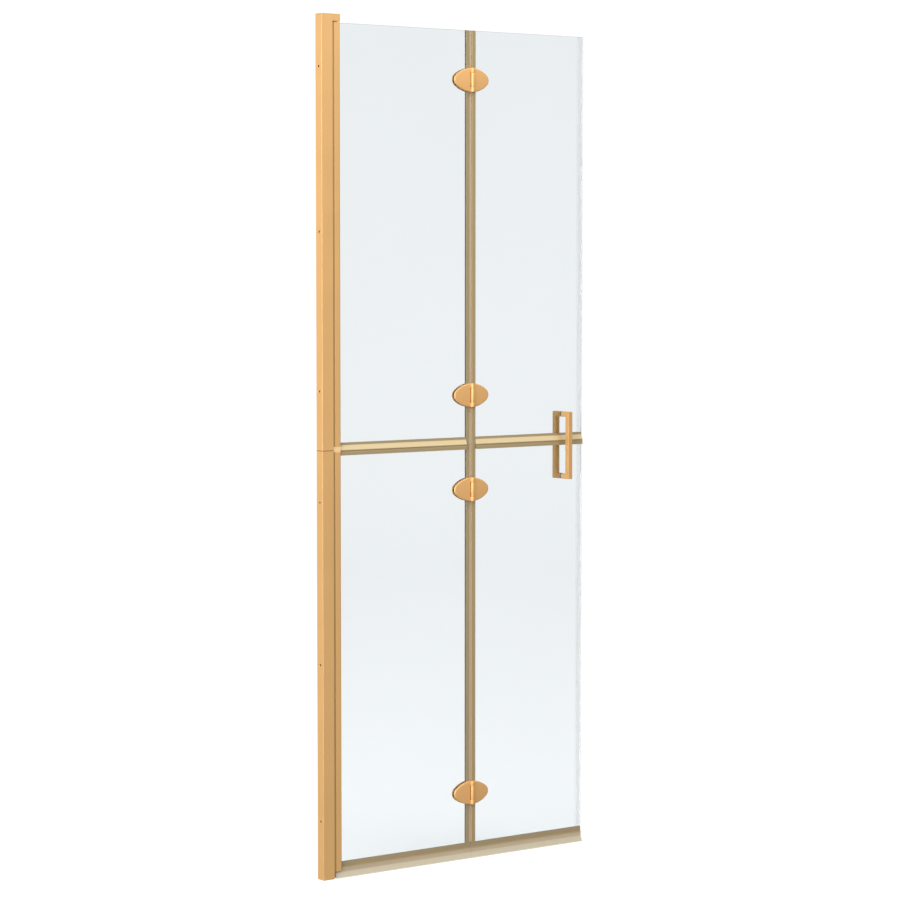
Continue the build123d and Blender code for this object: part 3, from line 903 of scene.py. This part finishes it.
class StudioSettings(bpy.types.PropertyGroup):
    """Camera and soft light."""

    lens: bpy.props.FloatProperty(
        name="Lens", description="Focal length on a 36 mm sensor",
        default=114.57, min=10, unit="CAMERA",
    )
    heading: bpy.props.FloatProperty(
        name="Heading", description="Direction of view, from +Y towards +X",
        default=math.radians(36.3472), subtype="ANGLE", unit="ROTATION",
    )
    pitch: bpy.props.FloatProperty(
        name="Pitch", description="How far the view looks up, or down if negative",
        default=math.radians(-3.79), subtype="ANGLE", unit="ROTATION",
    )
    camera_place: bpy.props.FloatVectorProperty(
        name="Camera place", description="Where the camera stands",
        default=(-3.4749, -5.2035, 1.3661), size=3, subtype="TRANSLATION", unit="LENGTH",
    )
    floor_radius: metres("Floor radius", "Radius of the round studio floor", 9.0, 1)
    high_light: bpy.props.FloatProperty(
        name="High light", description="Power of the soft light above the front right",
        default=70.0, min=0, unit="POWER",
    )
    left_light: bpy.props.FloatProperty(
        name="Left light", description="Power of the soft light on the left",
        default=400.0, min=0, unit="POWER",
    )
    sky: bpy.props.FloatProperty(
        name="Sky", description="Strength of the light from above the horizon",
        default=1.0, min=0,
    )
    ground: bpy.props.FloatProperty(
        name="Ground", description="Strength of the light from below the horizon",
        default=0.5, min=0,
    )


def settings_of(context, name):
    """One group of this add-on's settings."""
    return getattr(context.scene, "shower_screen_" + name)


# Operators
class ScreenOperator(bpy.types.Operator):
    """Base of the steps that finish the screen."""

    bl_options = {"REGISTER", "UNDO"}

    def group(self, context, name):
        if not finishes and name != "finishes":
            raise RuntimeError("Mix the finishes first")
        return settings_of(context, name)


class SHOWER_OT_finishes(ScreenOperator):
    """Mix the gold, the glass, the plastics and the plain metals"""

    bl_idname = "shower.finishes"
    bl_label = "Finishes"

    def execute(self, context):
        edges = settings_of(context, "edges")
        make_finishes(self.group(context, "finishes"), groove_span(edges))
        return {"FINISHED"}


class SHOWER_OT_wall_profile(ScreenOperator):
    """Finish the wall profile, its caps and the strip that joins its halves"""

    bl_idname = "shower.wall_profile"
    bl_label = "Wall profile"

    def execute(self, context):
        edges = self.group(context, "edges")
        for half in ("lower", "upper"):
            eased_copy("wall_profile_" + half, "gold_profile", edges.profile_edge)
        for end in ("top", "bottom"):
            eased_copy(end + "_cap", "gold_cap", edges.profile_edge)
        paint("profile_joiner", "plain_aluminium")
        return {"FINISHED"}


class SHOWER_OT_post(ScreenOperator):
    """Finish the glass post, its spacer and its gaskets"""

    bl_idname = "shower.post"
    bl_label = "Glass post"

    def execute(self, context):
        edges = self.group(context, "edges")
        for half in ("lower", "upper"):
            node = "post_" + half
            groove = self.groove(edges, node)
            eased_copy(node, "gold_profile", edges.profile_edge, "gold_post", [groove])
            eased_copy("post_gasket_" + half, "clear_gasket", edges.seal_edge)
        eased_copy("post_spacer", "gold_cap", edges.profile_edge, "pale_gold")
        return {"FINISHED"}

    def groove(self, edges, node):
        """The space of the groove that runs up the post's front, beside the wall profile."""
        low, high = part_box(node)
        left, right = groove_span(edges)
        depth = edges.groove_depth
        corner = Vector((left, low.y - depth, low.z - depth))
        return long_block("groove", corner, Vector((right, low.y + depth, high.z + depth)))


class SHOWER_OT_panes(ScreenOperator):
    """Cut, drill and polish the four panes"""

    bl_idname = "shower.panes"
    bl_label = "Panes"

    def execute(self, context):
        edges = self.group(context, "edges")
        fasteners = self.group(context, "fasteners")
        drill = drill_tree()
        for leaf in LEAVES:
            holes = [(fasteners.hinge_hole, solids("hinge_screws_" + leaf))]
            if leaf == "outer":
                holes.append((fasteners.handle_hole, solids("handle_studs")))
            for half in ("lower", "upper"):
                self.pane(edges, drill, f"pane_{leaf}_{half}", holes)
        return {"FINISHED"}

    def pane(self, edges, drill, node, holes):
        """One pane, with a hole for each fastener that falls on it."""
        low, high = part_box(node)
        name = node + "_sheet"
        shape = sheet_shape(low, high, edges.glass_corner, edges.glass_edge)
        piece = add_piece(name, mesh_from(shape, name))
        tools = []
        for radius, boxes in holes:
            middles = [(first + last) / 2 for first, last in boxes]
            points = [(at.x, 0, at.z) for at in middles if low.z < at.z < high.z]
            tools.append(spread("drill_holes", drill, points, {
                "Radius": radius,
                "Length": 2 * (high.y - low.y),
                "Turn": BACKWARD,
                "Material": finishes["clear_glass"],
            }))
        piece.data.materials.append(finishes["clear_glass"])
        combine(piece, "DIFFERENCE", tools)
        piece.data.set_sharp_from_angle(angle=SHARP_CORNER)
        settle(piece, [node], body_of(node), "clear_glass")


class SHOWER_OT_seals(ScreenOperator):
    """Finish the middle strips, the bottom seals and the seals of the seam and the free edge"""

    bl_idname = "shower.seals"
    bl_label = "Seals"

    def execute(self, context):
        edges = self.group(context, "edges")
        for leaf in LEAVES:
            eased_copy("middle_strip_" + leaf, "tinted_seal", edges.seal_edge, "tinted_strip")
            eased_copy("bottom_seal_" + leaf, "tinted_seal", edges.seal_edge, "tinted_foot")
            for half in ("lower", "upper"):
                eased_copy(f"seam_seal_{leaf}_{half}", "tinted_seal", edges.seal_edge)
        for half in ("lower", "upper"):
            eased_copy("edge_seal_" + half, "clear_seal", edges.seal_edge)
        return {"FINISHED"}


class SHOWER_OT_hinges(ScreenOperator):
    """Shape the domed plates and barrels of the hinges, and finish their pads and pins"""

    bl_idname = "shower.hinges"
    bl_label = "Hinges"

    def execute(self, context):
        settings = self.group(context, "hinges")
        for place in PLACES:
            for leaf, side in LEAVES.items():
                for face in FACES:
                    self.plate(settings, place, leaf, side, face)
            paint(f"hinge_{place}_pin", "steel")
        for leaf in LEAVES:
            paint("hinge_pads_" + leaf, "soft_pad")
        return {"FINISHED"}

    def plate(self, settings, place, leaf, side, face):
        """One plate, with its barrels if it is a front one."""
        pin_low, pin_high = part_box(f"hinge_{place}_pin")
        axis = (pin_low + pin_high) / 2
        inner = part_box(f"hinge_{place}_back_inner")
        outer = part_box(f"hinge_{place}_back_outer")
        length = outer[1].x - inner[0].x
        cut = outer[0].x - axis.x
        pane_low, pane_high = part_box("pane_inner_upper")
        if face == "front":
            near = pane_low.y - settings.pad_thickness
            far = near - settings.front_thickness
        else:
            near = pane_high.y + settings.pad_thickness
            dome = settings.dome_radius
            far = outer[1].y + dome - math.sqrt(dome * dome - cut * cut)
        place_at = (axis.x, 0, axis.z)
        shape = plate_shape(settings, length, cut, near, far)
        name = f"hinge_{place}_{face}_{leaf}_plate"
        piece = rounded(shape, name, place_at, side, settings.rim, 4, by_weight=True)
        if face == "front":
            root = cut + settings.knuckle_root
            foot = (near + far) / 2
            barrels = []
            for index, span in enumerate(knuckle_spans(settings, side)):
                barrel = knuckle_shape(settings, root, axis.y, foot, span)
                name = f"barrel_{index}"
                barrels.append(rounded(barrel, name, place_at, side, settings.knuckle_edge, 3))
            combine(piece, "UNION", barrels)
        piece.data.set_sharp_from_angle(angle=SHARP_ON_PLATE)
        settle(piece, [f"hinge_{place}_{face}_{leaf}"], leaf + "_leaf", "gold_hinge")


class SHOWER_OT_handles(ScreenOperator):
    """Shape the two D handles and finish their studs"""

    bl_idname = "shower.handles"
    bl_label = "Handles"

    def execute(self, context):
        edges = self.group(context, "edges")
        for face, facing in FACES.items():
            low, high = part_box("handle_" + face)
            piece = add_piece(f"handle_{face}_bar", self.bar(low, high, facing))
            ease(piece, edges.handle_edge, 4)
            settle(piece, ["handle_" + face], "outer_leaf", "gold_handle")
        paint("handle_studs", "steel")
        return {"FINISHED"}

    def bar(self, low, high, facing):
        """A square bar bent into a D, its two arms towards the glass."""
        size = high.x - low.x
        near = high.y if facing < 0 else low.y
        far = low.y if facing < 0 else high.y
        inner = far - facing * size
        outline = [(near, low.z), (far, low.z), (far, high.z), (near, high.z)]
        outline += [(near, high.z - size), (inner, high.z - size)]
        outline += [(inner, low.z + size), (near, low.z + size)]
        shape = bmesh.new()
        rings = [[shape.verts.new((x, y, z)) for y, z in outline] for x in (low.x, high.x)]
        close_rings(shape, rings)
        return mesh_from(shape, "handle_bar")


class SHOWER_OT_fasteners(ScreenOperator):
    """Make the screws, washers and bushes from node groups"""

    bl_idname = "shower.fasteners"
    bl_label = "Fasteners"

    def execute(self, context):
        settings = self.group(context, "fasteners")
        screw = screw_tree()
        ring = ring_tree()
        self.screws(settings, screw, "clamp_screws", settings.clamp_head, settings.clamp_shank)
        for leaf in LEAVES:
            node = "hinge_screws_" + leaf
            self.screws(settings, screw, node, settings.hinge_head, settings.hinge_shank)
        self.rings(settings, ring, "handle_washers", "clear_gasket")
        self.rings(settings, ring, "handle_bushes", "nylon")
        paint("clamp_nuts", "plain_aluminium")
        paint("handle_grub_screws", "steel")
        return {"FINISHED"}

    def screws(self, settings, tree, node, head_height, shank_radius):
        """Screws that face the back, one for each solid of the node."""
        boxes = solids(node)
        low, high = boxes[0]
        seat = high.y - head_height
        points = [((low.x + high.x) / 2, seat, (low.z + high.z) / 2) for low, high in boxes]
        piece = spread(node + "_set", tree, points, {
            "Head Radius": (high.x - low.x) / 2,
            "Head Height": head_height,
            "Head Chamfer": settings.chamfer,
            "Shank Radius": shank_radius,
            "Shank Length": seat - low.y,
            "Key Radius": settings.key_radius,
            "Key Depth": settings.key_depth,
            "Turn": BACKWARD,
            "Material": finishes["steel"],
        })
        settle(piece, [node], body_of(node), "steel")

    def rings(self, settings, tree, node, slot):
        """Rings about the handle's studs, one for each solid of the node."""
        boxes = solids(node)
        low, high = boxes[0]
        points = [(low + high) / 2 for low, high in boxes]
        piece = spread(node + "_set", tree, points, {
            "Radius": (high.x - low.x) / 2,
            "Bore": settings.stud_radius,
            "Thickness": high.y - low.y,
            "Turn": BACKWARD,
            "Material": finishes[slot],
        })
        settle(piece, [node], body_of(node), slot)


# Studio: the floor and its wall, the horizon's soft edge, the lights and the camera's sensor
FLOOR_CURVE = 2.5
CURVE_STEPS = 12
STUDIO_HEIGHT = 14.0
FLOOR_SIDES = 96
FLOOR_COLOUR = (0.3, 0.3, 0.3, 1.0)
FLOOR_GLOW = 0.8
HORIZON = 0.35
HIGH_PLACE = (2.0, -2.6, 4.4)
HIGH_SIZE = 2.2
LEFT_PLACE = (-4.5, -1.6, 1.9)
LEFT_SIZE = 4.5
SENSOR = 36.0
FAR = 100.0


class SHOWER_OT_studio(ScreenOperator):
    """Lay the pale floor and set up the soft light and the camera"""

    bl_idname = "shower.studio"
    bl_label = "Studio"

    def execute(self, context):
        settings = self.group(context, "studio")
        self.floor(settings)
        self.sky(context, settings)
        middle = (cad_low + cad_high) / 2
        self.softbox("high_light", settings.high_light, HIGH_PLACE, middle, HIGH_SIZE)
        self.softbox("left_light", settings.left_light, LEFT_PLACE, middle, LEFT_SIZE)
        self.camera(context, settings)
        context.scene.view_settings.view_transform = "Standard"
        return {"FINISHED"}

    def floor(self, settings):
        """A round floor that curves up into a wall all round."""
        radius = settings.floor_radius
        flat = radius - FLOOR_CURVE
        section = [(0.0, 0.0), (flat, 0.0)]
        for step in range(1, CURVE_STEPS + 1):
            angle = math.pi / 2 * step / CURVE_STEPS
            up = FLOOR_CURVE - FLOOR_CURVE * math.cos(angle)
            section.append((flat + FLOOR_CURVE * math.sin(angle), up))
        section.append((radius, STUDIO_HEIGHT))
        shape = bmesh.new()
        points = [shape.verts.new((across, 0, up)) for across, up in section]
        line = [shape.edges.new(pair) for pair in zip(points, points[1:])]
        bmesh.ops.spin(
            shape, geom=points + line, cent=(0, 0, 0), axis=(0, 0, 1),
            angle=2 * math.pi, steps=FLOOR_SIDES, use_duplicate=False,
        )
        bmesh.ops.remove_doubles(shape, verts=shape.verts, dist=SAME_POINT)
        bmesh.ops.recalc_face_normals(shape, faces=shape.faces)
        mesh = mesh_from(shape, "studio_floor")
        finish = Finish("pale_floor")
        mesh.materials.append(finish.surface({
            "Base Color": FLOOR_COLOUR,
            "Roughness": 0.9,
            "Specular IOR Level": 0.0,
            "Emission Color": (1.0, 1.0, 1.0, 1.0),
            "Emission Strength": FLOOR_GLOW,
        }))
        floor = add_piece("studio_floor", mesh)
        floor.visible_diffuse = False
        floor.visible_glossy = False

    def sky(self, context, settings):
        """Light from all round, stronger from above than from below."""
        sky = Finish("studio_sky", "worlds")
        place = sky.node("ShaderNodeTexCoord", {}, {}, "Generated")
        up = sky.node("ShaderNodeSeparateXYZ", {}, {0: place}, "Z")
        strength = sky.node("ShaderNodeMapRange", {"interpolation_type": "SMOOTHSTEP"}, {
            "Value": up,
            "From Min": -HORIZON,
            "From Max": HORIZON,
            "To Min": settings.ground,
            "To Max": settings.sky,
        })
        light = sky.node("ShaderNodeBackground", {}, {"Strength": strength})
        sky.node("ShaderNodeOutputWorld", {}, {"Surface": light})
        context.scene.world = sky.owner

    def softbox(self, name, power, place, target, size):
        """A square soft light aimed at the screen."""
        lamp = bpy.data.lights.new(name, "AREA")
        lamp.energy = power
        lamp.size = size
        holder = bpy.data.objects.new(name, lamp)
        holder.location = place
        aim = target - Vector(place)
        holder.rotation_euler = aim.to_track_quat("-Z", "Y").to_euler()
        bpy.context.scene.collection.objects.link(holder)

    def camera(self, context, settings):
        """The camera at the photograph's viewing angle."""
        data = bpy.data.cameras.new("camera")
        data.lens = settings.lens
        data.sensor_width = SENSOR
        data.clip_end = FAR
        camera = bpy.data.objects.new("camera", data)
        camera.location = settings.camera_place
        camera.rotation_euler = (math.pi / 2 + settings.pitch, 0.0, -settings.heading)
        context.scene.collection.objects.link(camera)
        context.scene.camera = camera


SETTINGS = {
    "finishes": FinishSettings,
    "edges": EdgeSettings,
    "hinges": HingeSettings,
    "fasteners": FastenerSettings,
    "studio": StudioSettings,
}
STEPS = (
    SHOWER_OT_finishes,
    SHOWER_OT_wall_profile,
    SHOWER_OT_post,
    SHOWER_OT_panes,
    SHOWER_OT_seals,
    SHOWER_OT_hinges,
    SHOWER_OT_handles,
    SHOWER_OT_fasteners,
    SHOWER_OT_studio,
)


class SHOWER_PT_panel(bpy.types.Panel):
    """Lists the steps that finish the screen, with their settings."""

    bl_label = "Shower Screen"
    bl_space_type = "VIEW_3D"
    bl_region_type = "UI"
    bl_category = "Shower Screen"

    def draw(self, context):
        for name, group in SETTINGS.items():
            box = self.layout.box()
            for item in group.__annotations__:
                box.prop(settings_of(context, name), item)
        for step in STEPS:
            self.layout.operator(step.bl_idname)


def register():
    """Adds the settings, the operators and the panel."""
    for name, group in SETTINGS.items():
        bpy.utils.register_class(group)
        pointer = bpy.props.PointerProperty(type=group)
        setattr(bpy.types.Scene, "shower_screen_" + name, pointer)
    for step in STEPS:
        bpy.utils.register_class(step)
    bpy.utils.register_class(SHOWER_PT_panel)


def unregister():
    """Takes them all away again."""
    bpy.utils.unregister_class(SHOWER_PT_panel)
    for step in reversed(STEPS):
        bpy.utils.unregister_class(step)
    for name, group in SETTINGS.items():
        delattr(bpy.types.Scene, "shower_screen_" + name)
        bpy.utils.unregister_class(group)


def main():
    """Finishes the screen step by step."""
    register()
    for step in STEPS:
        family, action = step.bl_idname.split(".")
        getattr(getattr(bpy.ops, family), action)()


if __name__ == "__main__":
    main()
